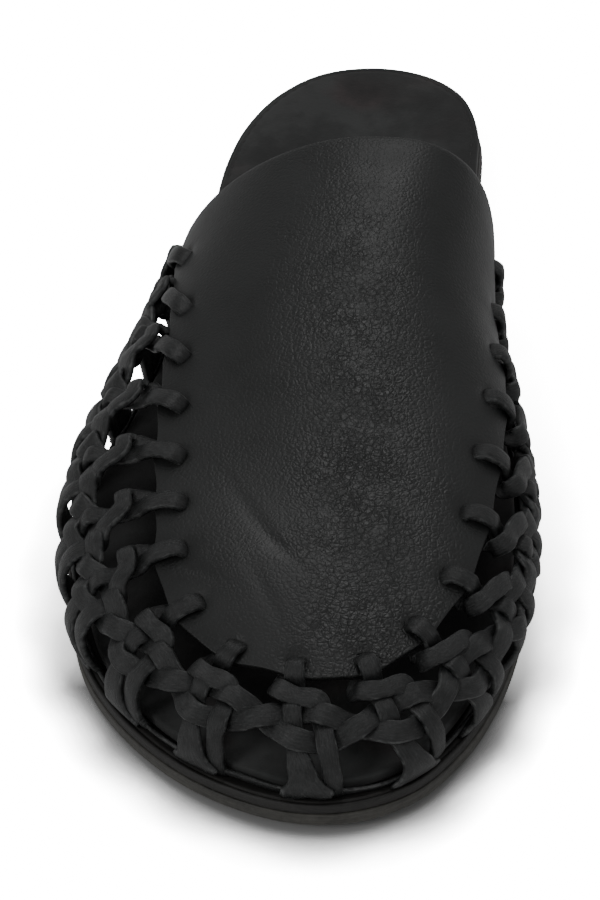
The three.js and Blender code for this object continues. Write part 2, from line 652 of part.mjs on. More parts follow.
const group = new THREE.Group()
const pieces = [
  { name: 'outsole', solid: outsole, color: 0x2a2320, roughness: 0.7 },
  { name: 'midsole', solid: midsole, color: 0x3a322d, roughness: 0.6 },
  { name: 'insole', solid: insole, color: 0x1c1a1a, roughness: 0.95 },
  { name: 'vamp', solid: vamp, color: 0x1b1b1d, roughness: 0.5 },
  { name: 'woven_band', solid: weave, color: 0x202122, roughness: 0.6 },
]
for (const piece of pieces) {
  const { color, roughness } = piece
  const material = new THREE.MeshStandardMaterial({ color, roughness, metalness: 0 })
  const mesh = new THREE.Mesh(geometryOf(piece.solid), material)
  mesh.name = piece.name
  group.add(mesh)
}

// The origin is the middle of the bounding box, on the ground.
const bounds = new THREE.Box3().setFromObject(group, true)
const middle = bounds.getCenter(new THREE.Vector3())
for (const mesh of group.children) mesh.position.set(-middle.x, -middle.y, -bounds.min.z)

export default group
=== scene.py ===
"""Woven leather mule, the right shoe, dressed for the render.

Lengths are in millimetres until a mesh is made.
"""
import math

import bmesh
import bpy
import numpy as np
from mathutils import Matrix, Vector


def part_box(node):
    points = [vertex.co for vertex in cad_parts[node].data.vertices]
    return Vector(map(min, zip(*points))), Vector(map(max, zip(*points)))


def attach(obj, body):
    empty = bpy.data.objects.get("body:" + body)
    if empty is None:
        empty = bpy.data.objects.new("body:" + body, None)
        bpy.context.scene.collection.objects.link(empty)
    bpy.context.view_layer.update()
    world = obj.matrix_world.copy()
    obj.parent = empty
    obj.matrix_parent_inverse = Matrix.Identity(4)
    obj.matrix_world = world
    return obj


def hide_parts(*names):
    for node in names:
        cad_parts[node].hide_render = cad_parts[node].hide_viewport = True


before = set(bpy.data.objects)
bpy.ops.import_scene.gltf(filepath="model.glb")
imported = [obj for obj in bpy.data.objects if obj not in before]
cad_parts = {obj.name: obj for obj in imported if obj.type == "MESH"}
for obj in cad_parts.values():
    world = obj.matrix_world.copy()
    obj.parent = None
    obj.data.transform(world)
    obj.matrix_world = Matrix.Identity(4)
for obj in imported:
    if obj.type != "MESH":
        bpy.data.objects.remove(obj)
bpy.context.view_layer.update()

# Main sizes, as in the solids
LENGTH = 287.0
BALL_WIDTH = 110.0
INSTEP_HEIGHT = 64.0
THROAT_FROM_TOE = 174.0
OUTSOLE_THICKNESS = 3.2
MIDSOLE_THICKNESS = 2.2
INSOLE_THICKNESS = 3.2
INSOLE_STEP = 0.9
TOE_SPRING = 3.0
SPRING_LENGTH = 62.0
WAIST_LIFT = 1.5
FIT_GAP = 0.3
VAMP_WALL = 1.8
STRIP_WIDTH = 5.0
STRIP_THICKNESS = 1.9
STRIP_FOOT_WIDTH = 4.0
LOOP_WIDTH = 4.4
FAN_WIDTH = 13.0
LOOP_COUNT = 19
STRAND_SPACING = 6.1
STRIP_FOOT_RISE = 0.6
WALL_GAP = 0.5
GROOVE_INSET = 1.95

HALF_BALL = BALL_WIDTH / 2
WALL_FOOT = OUTSOLE_THICKNESS + MIDSOLE_THICKNESS + 2 * FIT_GAP
HEEL_PART_FROM = THROAT_FROM_TOE + 0.1 * LENGTH

OUTLINE = [
    (1.0, 0.04), (0.989, -0.235), (0.955, -0.437), (0.9, -0.582), (0.83, -0.656), (0.695, -0.68),
    (0.606, -0.735), (0.516, -0.81), (0.437, -0.9), (0.357, -0.98), (0.288, -0.995), (0.218, -0.93),
    (0.149, -0.81), (0.084, -0.58), (0.032, -0.27), (0.003, 0.08), (0.003, 0.34), (0.028, 0.6),
    (0.079, 0.79), (0.144, 0.915), (0.218, 0.985), (0.308, 1.0), (0.407, 0.95), (0.516, 0.83),
    (0.626, 0.71), (0.725, 0.645), (0.83, 0.613), (0.9, 0.592), (0.953, 0.493), (0.986, 0.307),
]
# along, across, height of the upper's top line
RIDGE = [
    (0.174, 0.07, 0.593), (0.278, 0.09, 0.71), (0.382, 0.127, 0.815), (0.487, 0.158, 0.915),
    (0.601, 0.19, 1.0),
]
# round, margin, belly, height of the belly, crown
SIDES = [
    (0.0, 0.045, 0.022, 0.203, 1.78), (0.12, 0.047, 0.03, 0.203, 1.78), (0.22, 0.058, 0.05, 0.186, 1.85),
    (0.32, 0.073, 0.072, 0.155, 1.95), (0.41, 0.082, 0.045, 0.108, 2.0), (0.5, 0.082, 0.01, 0.072, 2.0),
    (0.59, 0.082, 0.06, 0.108, 2.0), (0.68, 0.076, 0.1, 0.155, 2.05), (0.77, 0.067, 0.07, 0.186, 2.1),
    (0.86, 0.06, 0.02, 0.217, 2.15), (0.93, 0.058, 0.02, 0.265, 2.3), (1.0, 0.055, 0.085, 0.34, 2.8),
]
# round, strand, edge, hole, how far a loop's foot and its hole stand ahead
BAND = [
    (0.0, 0.235, 0.433, 0.06, 0.0, 0.85), (0.02, 0.295, 0.423, 0.06, 0.0, 0.98),
    (0.06, 0.4, 0.505, 0.06, -0.05, 1.02), (0.11, 0.47, 0.619, 0.06, 0.05, 0.9),
    (0.17, 0.46, 0.686, 0.068, 0.1, 0.66), (0.22, 0.44, 0.711, 0.07, 0.0, 0.42),
    (0.28, 0.425, 0.681, 0.075, -0.1, 0.05), (0.33, 0.392, 0.593, 0.08, -0.22, -0.3),
    (0.39, 0.345, 0.476, 0.068, -0.2, -0.12), (0.445, 0.318, 0.428, 0.035, -0.08, 0.05),
    (0.5, 0.316, 0.443, 0.03, 0.15, 0.2), (0.56, 0.318, 0.456, 0.03, 0.23, 0.32),
    (0.61, 0.32, 0.449, 0.04, 0.23, 0.3), (0.67, 0.32, 0.469, 0.055, 0.25, 0.28),
    (0.72, 0.32, 0.476, 0.07, 0.15, 0.12), (0.78, 0.311, 0.469, 0.08, 0.0, -0.05),
    (0.84, 0.284, 0.42, 0.08, -0.1, -0.15), (0.9, 0.247, 0.367, 0.06, -0.2, -0.25),
    (0.95, 0.222, 0.322, 0.04, -0.25, -0.3), (0.985, 0.206, 0.3, 0.035, -0.25, -0.3),
    (1.0, 0.201, 0.325, 0.035, -0.25, -0.3),
]
# Soft troughs and ridges of the vamp: place along and across it, direction, length, width and depth in
# millimetres. A negative depth is a ridge.
CREASES = [
    (0.275, -0.42, -58, 70, 36, 1.5),
    (0.178, -0.5, -38, 50, 22, -0.5),
    (0.212, -0.3, -52, 24, 3.0, 0.2),
    (0.196, -0.22, -46, 22, 2.6, 0.18),
    (0.182, -0.12, -38, 20, 2.6, 0.16),
    (0.177, 0.25, -3, 28, 3.6, 0.3),
    (0.166, -0.69, -27, 13, 2.8, 0.25),
    (0.118, 0.26, 62, 16, 2.4, 0.2),
    (0.383, 0.18, 85, 96, 26, -0.7),
    (0.30, 0.42, 24, 26, 5.0, 0.22),
    (0.26, 0.34, -28, 22, 4.5, 0.2),
    (0.225, 0.45, 12, 26, 4.5, 0.22),
    (0.35, 0.30, -35, 20, 4.5, 0.18),
    (0.41, 0.12, 30, 20, 5.0, 0.16),
    (0.135, 0.55, 35, 18, 3.5, 0.2),
    (0.14, -0.15, -60, 16, 3.5, 0.18),
]


def mix(a, b, t):
    return a + (b - a) * t


def clamp(x, low, high):
    return max(low, min(high, x))


def smoothstep(x, low, high):
    t = clamp((x - low) / (high - low), 0.0, 1.0)
    return t * t * (3 - 2 * t)


def curve_of(table, column):
    """One column of a table as a smooth function of its first column."""
    last = len(table) - 1

    def slope(i):
        a, b = table[max(i - 1, 0)], table[min(i + 1, last)]
        return (b[column] - a[column]) / (b[0] - a[0])

    def value(x):
        place = clamp(x, table[0][0], table[last][0])
        i = 0
        while i < last - 1 and place > table[i + 1][0]:
            i += 1
        a, b = table[i], table[i + 1]
        step = b[0] - a[0]
        t = (place - a[0]) / step
        t2, t3 = t * t, t ** 3
        return (a[column] * (2 * t3 - 3 * t2 + 1) + b[column] * (3 * t2 - 2 * t3)
                + step * (slope(i) * (t3 - 2 * t2 + t) + slope(i + 1) * (t3 - t2)))
    return value


def spline(points, per_step, closed=False):
    """Centripetal Catmull-Rom curve through the points, with per_step samples to each step."""
    p = np.asarray(points, float)
    count = len(p)
    spans = count if closed else count - 1
    samples = []
    for i in range(spans):
        if closed:
            a, b, c, d = p[i - 1], p[i], p[(i + 1) % count], p[(i + 2) % count]
        else:
            b, c = p[i], p[i + 1]
            a = p[i - 1] if i > 0 else 2 * b - c
            d = p[i + 2] if i + 2 < count else 2 * c - b
        d1 = max(np.sum((c - b) ** 2) ** 0.25, 1e-4)
        d0 = np.sum((b - a) ** 2) ** 0.25
        d2 = np.sum((d - c) ** 2) ** 0.25
        d0 = d0 if d0 > 1e-4 else d1
        d2 = d2 if d2 > 1e-4 else d1
        m1 = ((b - a) / d0 - (c - a) / (d0 + d1) + (c - b) / d1) * d1
        m2 = ((c - b) / d1 - (d - b) / (d1 + d2) + (d - c) / d2) * d1
        for k in range(per_step):
            t = k / per_step
            square, cube = 3 * (c - b) - 2 * m1 - m2, 2 * (b - c) + m1 + m2
            samples.append(b + m1 * t + square * t * t + cube * t ** 3)
    if not closed:
        samples.append(p[-1])
    return np.array(samples)


ridge_across = curve_of(RIDGE, 1)
ridge_height = curve_of(RIDGE, 2)
side_margin = curve_of(SIDES, 1)
side_belly = curve_of(SIDES, 2)
side_belly_height = curve_of(SIDES, 3)
side_crown = curve_of(SIDES, 4)
band_strand = curve_of(BAND, 1)
band_edge = curve_of(BAND, 2)
band_hole = curve_of(BAND, 3)
foot_ahead = curve_of(BAND, 4)
hole_ahead = curve_of(BAND, 5)

WAIST_FROM = 0.44 * LENGTH
WAIST_TO = 0.72 * LENGTH


def ground_height(y):
    if y < SPRING_LENGTH:
        return TOE_SPRING * (1 - max(y, 0) / SPRING_LENGTH) ** 2
    if WAIST_FROM < y < WAIST_TO:
        return WAIST_LIFT * math.sin(math.pi * (y - WAIST_FROM) / (WAIST_TO - WAIST_FROM)) ** 2
    return 0.0


outline = spline([(across * HALF_BALL, along * LENGTH) for along, across in OUTLINE], 24, closed=True)
tangent = np.roll(outline, -1, axis=0) - np.roll(outline, 1, axis=0)
tangent /= np.linalg.norm(tangent, axis=1)[:, None]
inward = np.stack([-tangent[:, 1], tangent[:, 0]], axis=1)
toe_index = int(np.argmin(outline[:, 1]))
heel_index = int(np.argmax(outline[:, 1]))

outer_end = int(np.argmax(outline[:, 1] <= THROAT_FROM_TOE))
inner_end = len(outline) - 1 - int(np.argmax(outline[::-1, 1] <= THROAT_FROM_TOE))
EXTRA_POINTS = 34
line_index = range(outer_end - EXTRA_POINTS, inner_end + EXTRA_POINTS + 1)
line_share = [clamp((i - outer_end) / (inner_end - outer_end), 0, 1) for i in line_index]
foot_points = np.array([
    outline[i] + inward[i] * side_margin(share) * HALF_BALL for i, share in zip(line_index, line_share)
])
foot_out = np.array([-inward[i] for i in line_index])
foot_lengths = np.concatenate([[0], np.cumsum(np.linalg.norm(np.diff(foot_points, axis=0), axis=1))])
FOOT_START = foot_lengths[EXTRA_POINTS]
FOOT_TOTAL = foot_lengths[-1 - EXTRA_POINTS] - FOOT_START


def foot_at(place):
    length = FOOT_START + place * FOOT_TOTAL
    point = np.array([np.interp(length, foot_lengths, foot_points[:, k]) for k in range(2)])
    out = np.array([np.interp(length, foot_lengths, foot_out[:, k]) for k in range(2)])
    return point, out / np.linalg.norm(out)


POLE = RIDGE[0][0] * LENGTH
POLE_SLOPE = (RIDGE[1][2] - RIDGE[0][2]) * INSTEP_HEIGHT / ((RIDGE[1][0] - RIDGE[0][0]) * LENGTH)


def rib_at(place, steps=60):
    """Points from the foot line over the belly to the ridge, and their distances along the rib."""
    share = clamp(place, 0, 1)
    foot, out = foot_at(place)
    foot_height = ground_height(foot[1]) + WALL_FOOT
    centre_y = clamp(foot[1], POLE, THROAT_FROM_TOE)
    centre = np.array([ridge_across(centre_y / LENGTH) * HALF_BALL, max(foot[1], POLE)])
    top = ridge_height(centre_y / LENGTH) * INSTEP_HEIGHT
    belly = foot + out * side_belly(share) * HALF_BALL
    belly_height = foot_height + side_belly_height(share) * INSTEP_HEIGHT
    power = 2 / side_crown(share)
    points = []
    for i in range(8):
        t = i / 8
        flat = mix(belly, foot, (1 - t) ** 2)
        points.append((flat[0], flat[1], mix(foot_height, belly_height, t)))
    for i in range(steps + 1):
        turn = i / steps * math.pi / 2
        reach = 0.0 if i == steps else math.cos(turn) ** power
        rise = math.sin(turn) ** power
        flat = mix(centre, belly, reach)
        tilt = POLE_SLOPE * (flat[1] - POLE) * rise ** 1.5 if foot[1] < POLE else 0.0
        points.append((flat[0], flat[1], mix(belly_height, top, rise) + tilt))
    points = np.array(points)
    lengths = np.concatenate([[0], np.cumsum(np.linalg.norm(np.diff(points, axis=0), axis=1))])
    return points, lengths


def point_on_rib(rib, t):
    points, lengths = rib
    return np.array([np.interp(t, lengths, points[:, k]) for k in range(3)])


SPARE = 0.035
GRID = 360
RISE_STEP = 1.0
RISE_COUNT = 78
grid_points = np.zeros((GRID + 1, RISE_COUNT, 3))
for column in range(GRID + 1):
    rib = rib_at(mix(-SPARE, 1 + SPARE, column / GRID))
    for axis in range(3):
        grid_points[column, :, axis] = np.interp(np.arange(RISE_COUNT) * RISE_STEP, rib[1], rib[0][:, axis])


def surface(place, t):
    u = clamp((place + SPARE) / (1 + 2 * SPARE), 0, 1) * GRID
    v = clamp(t / RISE_STEP, 0, RISE_COUNT - 1.001)
    i, j = min(int(u), GRID - 1), int(v)
    low = mix(grid_points[i, j], grid_points[i + 1, j], u - i)
    high = mix(grid_points[i, j + 1], grid_points[i + 1, j + 1], u - i)
    return mix(low, high, v - j)


NUDGE = 0.004


def on_wall(place, t, lift):
    """Point on the upper's surface, its normal, and millimetres to one whole round there."""
    along = surface(place + NUDGE, t) - surface(place - NUDGE, t)
    up = surface(place, t + 1.5) - surface(place, max(t - 1.5, 0))
    normal = np.cross(along, up)
    normal /= np.linalg.norm(normal)
    return surface(place, t) + normal * lift, normal, np.linalg.norm(along) / (2 * NUDGE)


# The solids' frame: the outsole's box places this one's origin.
low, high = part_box("outsole")
SHIFT = np.array([
    (low.x + high.x) * 500 - (outline[:, 0].min() + outline[:, 0].max()) / 2,
    (low.y + high.y) * 500 - (outline[:, 1].min() + outline[:, 1].max()) / 2,
    0.0,
])


def make_object(name, vertices, faces, material, uv=None):
    mesh = bpy.data.meshes.new(name)
    mesh.from_pydata(((np.asarray(vertices) + SHIFT) * 0.001).tolist(), [], faces)
    if uv is not None:
        layer = mesh.uv_layers.new(name="UVMap")
        loops = np.zeros(len(mesh.loops), np.int32)
        mesh.loops.foreach_get("vertex_index", loops)
        layer.data.foreach_set("uv", np.asarray(uv, np.float32)[loops].ravel())
    mesh.polygons.foreach_set("use_smooth", [True] * len(mesh.polygons))
    mesh.update()
    piece = bpy.data.objects.new(name, mesh)
    bpy.context.scene.collection.objects.link(piece)
    piece.data.materials.append(material)
    return piece


def apply_modifiers(piece):
    graph = bpy.context.evaluated_depsgraph_get()
    mesh = bpy.data.meshes.new_from_object(piece.evaluated_get(graph))
    piece.modifiers.clear()
    piece.data = mesh


# Materials
def new_material(name, color, roughness, specular=0.5, coat=0.0, sheen=0.0):
    material = bpy.data.materials.new(name)
    material.use_nodes = True
    tree = material.node_tree
    shader = tree.nodes["Principled BSDF"]
    shader.inputs["Base Color"].default_value = (*color, 1)
    shader.inputs["Roughness"].default_value = roughness
    shader.inputs["Specular IOR Level"].default_value = specular
    shader.inputs["Coat Weight"].default_value = coat
    shader.inputs["Coat Roughness"].default_value = 0.35
    shader.inputs["Sheen Weight"].default_value = sheen
    return material, tree, shader


def noise(tree, source, scale, detail=4.0, roughness=0.55, stretch=(1, 1, 1)):
    node = tree.nodes.new("ShaderNodeTexNoise")
    node.inputs["Scale"].default_value = scale
    node.inputs["Detail"].default_value = detail
    node.inputs["Roughness"].default_value = roughness
    mapping = tree.nodes.new("ShaderNodeMapping")
    mapping.inputs["Scale"].default_value = stretch
    tree.links.new(source, mapping.inputs["Vector"])
    tree.links.new(mapping.outputs["Vector"], node.inputs["Vector"])
    return node.outputs["Fac"]


def cells(tree, source, scale):
    """Distance to the edges of pebbles of uneven shape."""
    node = tree.nodes.new("ShaderNodeTexVoronoi")
    node.feature = "DISTANCE_TO_EDGE"
    node.inputs["Scale"].default_value = scale
    tree.links.new(source, node.inputs["Vector"])
    return node.outputs["Distance"]


def ramp(tree, source, stops):
    node = tree.nodes.new("ShaderNodeValToRGB")
    node.color_ramp.elements[0].position = stops[0][0]
    node.color_ramp.elements[0].color = (*stops[0][1], 1)
    node.color_ramp.elements[1].position = stops[-1][0]
    node.color_ramp.elements[1].color = (*stops[-1][1], 1)
    for place, color in stops[1:-1]:
        element = node.color_ramp.elements.new(place)
        element.color = (*color, 1)
    tree.links.new(source, node.inputs["Fac"])
    return node.outputs["Color"]


def spread(tree, source, from_low, from_high, to_low, to_high):
    node = tree.nodes.new("ShaderNodeMapRange")
    node.inputs["From Min"].default_value = from_low
    node.inputs["From Max"].default_value = from_high
    node.inputs["To Min"].default_value = to_low
    node.inputs["To Max"].default_value = to_high
    tree.links.new(source, node.inputs["Value"])
    return node.outputs["Result"]


def combine(tree, kind, first, second):
    node = tree.nodes.new("ShaderNodeMath")
    node.operation = kind
    for socket, value in zip(node.inputs, (first, second)):
        if isinstance(value, (int, float)):
            socket.default_value = value
        else:
            tree.links.new(value, socket)
    return node.outputs["Value"]


def bump(tree, shader, height, distance, before=None, strength=1.0):
    node = tree.nodes.new("ShaderNodeBump")
    node.inputs["Strength"].default_value = strength
    node.inputs["Distance"].default_value = distance
    tree.links.new(height, node.inputs["Height"])
    if before is not None:
        tree.links.new(before, node.inputs["Normal"])
    tree.links.new(node.outputs["Normal"], shader.inputs["Normal"])
    return node.outputs["Normal"]


def place_of(tree, output="Object"):
    return tree.nodes.new("ShaderNodeTexCoord").outputs[output]


def uv_parts(tree):
    node = tree.nodes.new("ShaderNodeSeparateXYZ")
    tree.links.new(place_of(tree, "UV"), node.inputs["Vector"])
    return node.outputs["X"], node.outputs["Y"]


def near_line(tree, x0, y0, x1, y1, inner, outer):
    """1 within inner millimetres of a line in the shoe's plan, 0 from outer millimetres on."""
    parts = tree.nodes.new("ShaderNodeSeparateXYZ")
    tree.links.new(place_of(tree), parts.inputs["Vector"])
    lean = (x1 - x0) / (y1 - y0)
    start = (x0 + SHIFT[0] - lean * (y0 + SHIFT[1])) * 0.001
    line = combine(tree, "ADD", combine(tree, "MULTIPLY", parts.outputs["Y"], lean), start)
    beside_line = combine(tree, "ABSOLUTE", combine(tree, "SUBTRACT", parts.outputs["X"], line), 0.0)
    across = spread(tree, beside_line, inner * 0.001, outer * 0.001, 1.0, 0.0)
    fades_to, fades_from = (y1 + 20 + SHIFT[1]) * 0.001, (y1 - 10 + SHIFT[1]) * 0.001
    ends = spread(tree, parts.outputs["Y"], fades_to, fades_from, 0.35, 1.0)
    return combine(tree, "MULTIPLY", across, ends)


def vamp_leather():
    """Black leather, fine-grained at the sides, with pebbles and glints where the instep bends most, and
    painted shade darkening the cracks between the pebbles.
    """
    material, tree, shader = new_material("vamp_leather", (0.013, 0.0138, 0.0135), 0.45, 0.5)
    place = place_of(tree)
    bent = near_line(tree, 20, 62, 9, 140, 4, 22)
    pebbles = cells(tree, place, 900)
    fine = noise(tree, place, 2200, 3)
    wrinkles = cells(tree, place, 540)
    broad = noise(tree, place, 60, 3)
    patches = noise(tree, place, 130, 3)
    patchy = spread(tree, patches, 0.35, 0.6, 0.45, 1.0)
    some = combine(tree, "MULTIPLY", patchy, combine(tree, "ADD", bent, 0.1))
    ridges = spread(tree, wrinkles, 0.0, 0.16, 0.0, 1.0)
    # Painted shade: the colour darkens along the cracks between the pebbles, most where the instep bends.
    painted_crack_shade = combine(tree, "MULTIPLY", combine(tree, "SUBTRACT", 1.0, ridges), some)
    shade = combine(tree, "SUBTRACT", broad, combine(tree, "MULTIPLY", painted_crack_shade, 0.28))
    color = ramp(tree, shade, [
        (0.1, (0.005, 0.0053, 0.0052)), (0.3, (0.011, 0.0118, 0.0115)), (0.7, (0.018, 0.019, 0.0187)),
    ])
    tree.links.new(color, shader.inputs["Base Color"])
    dull = spread(tree, broad, 0.3, 0.7, 0.42, 0.54)
    dull = combine(tree, "SUBTRACT", dull, combine(tree, "MULTIPLY", bent, 0.05))
    tree.links.new(dull, shader.inputs["Roughness"])
    creased = combine(tree, "MULTIPLY", ridges, some)
    first = bump(tree, shader, creased, 0.00024, None, 0.6)
    raised = spread(tree, pebbles, 0.0, 0.3, 0.0, 1.0)
    grain = combine(tree, "MULTIPLY", raised, combine(tree, "ADD", some, 0.45))
    second = bump(tree, shader, grain, 0.00009, first, 0.8)
    bump(tree, shader, fine, 0.000035, second, 0.6)
    return material


def strip_leather():
    """Black lace leather: fibres and rough spots along the strip, and paler raw edges that vary with wear and
    are partly a painted highlight along the edges.
    """
    material, tree, shader = new_material("strip_leather", (0.02, 0.021, 0.0215), 0.5, 0.5)
    across, along = uv_parts(tree)
    uv = place_of(tree, "UV")
    fibre = noise(tree, uv, 1.0, 5, 0.7, (7, 0.5, 1))
    mottle = noise(tree, place_of(tree), 420, 5, 0.7)
    wear_and_painted_light = noise(tree, place_of(tree), 110, 3)
    edge = combine(tree, "ABSOLUTE", across, 0.0)
    # The raw edges are paler: partly the cut edge's own colour, partly a painted highlight where the edges
    # catch the light.
    cut = spread(tree, edge, 0.8, 0.97, 0.0, 1.0)
    raw_edge_and_painted_highlight = combine(tree, "MULTIPLY", cut, spread(tree, wear_and_painted_light, 0.35, 0.65, 0.35, 1.0))
    drawn = spread(tree, fibre, 0.34, 0.66, 0.0, 0.55)
    spotted = spread(tree, mottle, 0.34, 0.66, 0.0, 0.35)
    shade = combine(tree, "ADD", combine(tree, "ADD", drawn, spotted), combine(tree, "MULTIPLY", raw_edge_and_painted_highlight, 0.45))
    color = ramp(tree, shade, [
        (0.1, (0.005, 0.0055, 0.0055)), (0.4, (0.012, 0.0129, 0.0128)), (0.7, (0.026, 0.0273, 0.0272)),
        (1.0, (0.09, 0.093, 0.092)),
    ])
    tree.links.new(color, shader.inputs["Base Color"])
    tree.links.new(spread(tree, mottle, 0.3, 0.7, 0.28, 0.5), shader.inputs["Roughness"])
    first = bump(tree, shader, fibre, 0.00035, None, 0.8)
    second = bump(tree, shader, mottle, 0.00018, first, 0.6)
    bump(tree, shader, noise(tree, place_of(tree), 1400, 3), 0.00006, second, 0.6)
    return material


def suede():
    """Black suede of the footbed, in soft clouds, reddish in places, with painted light making it paler at
    the toe, where the weave shades it.
    """
    material, tree, shader = new_material("insole_suede", (0.02, 0.018, 0.018), 0.93, 0.25, 0.0, 0.2)
    shader.inputs["Sheen Roughness"].default_value = 0.6
    place = place_of(tree)
    clouds = noise(tree, place, 52, 4, 0.6)
    tint = noise(tree, place, 38, 2)
    nap = noise(tree, place, 1100, 4, 0.7)
    color = ramp(tree, clouds, [
        (0.4, (0.006, 0.0064, 0.0063)), (0.5, (0.0125, 0.0131, 0.0129)), (0.62, (0.026, 0.027, 0.0266)),
    ])
    parts = tree.nodes.new("ShaderNodeSeparateXYZ")
    tree.links.new(place, parts.inputs["Vector"])
    # Painted light: the suede's colour is made paler towards the toe, to stand in for light that the weave
    # shades off there.
    paler_from, paler_to = (45 + SHIFT[1]) * 0.001, (18 + SHIFT[1]) * 0.001
    toe = spread(tree, parts.outputs["Y"], paler_from, paler_to, 0.0, 1.0)
    wear_and_painted_light = tree.nodes.new("ShaderNodeMix")
    wear_and_painted_light.data_type = "RGBA"
    tree.links.new(toe, wear_and_painted_light.inputs["Factor"])
    tree.links.new(color, wear_and_painted_light.inputs["A"])
    toe_painted_light_color = ramp(tree, clouds, [(0.4, (0.022, 0.0235, 0.023)), (0.6, (0.05, 0.0525, 0.0515))])
    tree.links.new(toe_painted_light_color, wear_and_painted_light.inputs["B"])
    warm = tree.nodes.new("ShaderNodeMix")
    warm.data_type = "RGBA"
    warm.blend_type = "MULTIPLY"
    tree.links.new(spread(tree, tint, 0.52, 0.66, 0.0, 1.0), warm.inputs["Factor"])
    tree.links.new(wear_and_painted_light.outputs["Result"], warm.inputs["A"])
    warm.inputs["B"].default_value = (1.25, 0.88, 0.9, 1)
    tree.links.new(warm.outputs["Result"], shader.inputs["Base Color"])
    bump(tree, shader, nap, 0.0001, None, 0.6)
    return material


def edge_leather(name, dark, light, roughness, rim_height):
    """Burnished edge of a leather layer: fine level streaks under wax, darker towards its lowest rim."""
    material, tree, shader = new_material(name, dark, roughness, 0.4, 0.08)
    place = place_of(tree)
    streaks = noise(tree, place, 120, 6, 0.7, (1, 1, 16))
    clouds = noise(tree, place, 90, 4, 0.65)
    spots = noise(tree, place, 700, 3, 0.7)
    broad = combine(tree, "MULTIPLY", clouds, 0.35)
    shade = combine(tree, "ADD", combine(tree, "MULTIPLY", streaks, 0.45), broad)
    shade = combine(tree, "ADD", shade, combine(tree, "MULTIPLY", spots, 0.2))
    parts = tree.nodes.new("ShaderNodeSeparateXYZ")
    tree.links.new(place, parts.inputs["Vector"])
    rim = spread(tree, parts.outputs["Z"], rim_height * 0.0006, rim_height * 0.001, -0.12, 0.0)
    shade = combine(tree, "ADD", shade, rim)
    tree.links.new(ramp(tree, shade, [(0.36, dark), (0.62, light)]), shader.inputs["Base Color"])
    dull = spread(tree, clouds, 0.3, 0.7, roughness - 0.08, roughness + 0.1)
    tree.links.new(dull, shader.inputs["Roughness"])
    first = bump(tree, shader, streaks, 0.0003, None, 0.7)
    bump(tree, shader, spots, 0.0001, first, 0.6)
    return material


def thread(name, color):
    material, tree, shader = new_material(name, color, 0.7, 0.3)
    twist = noise(tree, place_of(tree), 2600, 2)
    shaded = tuple(0.6 * c for c in color)
    tree.links.new(ramp(tree, twist, [(0.3, shaded), (0.7, color)]), shader.inputs["Base Color"])
    bump(tree, shader, twist, 0.0001)
    return material


vamp_material = vamp_leather()
strip_material = strip_leather()
suede_material = suede()
outsole_material = edge_leather(
    "outsole_leather", (0.022, 0.0213, 0.0185), (0.085, 0.0825, 0.0725), 0.5, 1.3)
midsole_material = edge_leather(
    "midsole_leather", (0.009, 0.0088, 0.0083), (0.031, 0.0298, 0.0275), 0.55, 0.5)
heel_thread = thread("heel_thread", (0.05, 0.048, 0.047))


# Sole layers, each a closed shape of rings and a gridded top
ROWS = 210
COLUMNS = 14


def side_index(start, end, share):
    count = (end - start) % len(outline)
    return (start + round(share * count)) % len(outline)


places = [side_index(toe_index, heel_index, i / ROWS) for i in range(ROWS)]
places += [side_index(heel_index, toe_index, i / ROWS) for i in range(ROWS)]


def sole_layer(name, rings, material, dish=None):
    count = len(places)
    vertices, faces = [], []
    for inset, height in rings:
        for place in places:
            amount = inset(place) if callable(inset) else inset
            level = height(place) if callable(height) else height
            flat = outline[place] + inward[place] * amount
            vertices.append((flat[0], flat[1], ground_height(clamp(flat[1], 0, LENGTH)) + level))
    for r in range(len(rings) - 1):
        for i in range(count):
            a, b = r * count + i, r * count + (i + 1) % count
            faces.append((a, b, b + count, a + count))
    for top in (False, True):
        base = (len(rings) - 1) * count if top else 0
        rows = []
        for i in range(1, ROWS):
            left, right = base + i, base + count - i
            row = [left]
            for k in range(1, COLUMNS):
                t = k / COLUMNS
                point = mix(np.array(vertices[left]), np.array(vertices[right]), t)
                if top and dish is not None:
                    point[2] += dish(point)
                row.append(len(vertices))
                vertices.append(tuple(point))
            row.append(right)
            rows.append(row)
        for first, second in zip(rows, rows[1:]):
            for k in range(COLUMNS):
                quad = (first[k], first[k + 1], second[k + 1], second[k])
                faces.append(quad[::-1] if top else quad)
        for tip, row, turn in ((base, rows[0], top), (base + ROWS, rows[-1], not top)):
            for k in range(COLUMNS):
                faces.append((tip, row[k], row[k + 1]) if turn else (tip, row[k + 1], row[k]))
    return make_object(name, vertices, faces, material)


midsole_bottom = OUTSOLE_THICKNESS + FIT_GAP
midsole_top = midsole_bottom + MIDSOLE_THICKNESS
insole_bottom = midsole_top + FIT_GAP
insole_top = insole_bottom + INSOLE_THICKNESS


def inside_wall(place):
    """How far the insole's edge lies inside the outline: within the wall in front, near the edge behind."""
    share = clamp((place - outer_end) / (inner_end - outer_end), 0, 1)
    inside = side_margin(share) * HALF_BALL + WALL_GAP
    open_part = smoothstep(outline[place][1], THROAT_FROM_TOE + 0.045 * LENGTH, HEEL_PART_FROM)
    return mix(inside, INSOLE_STEP, open_part)


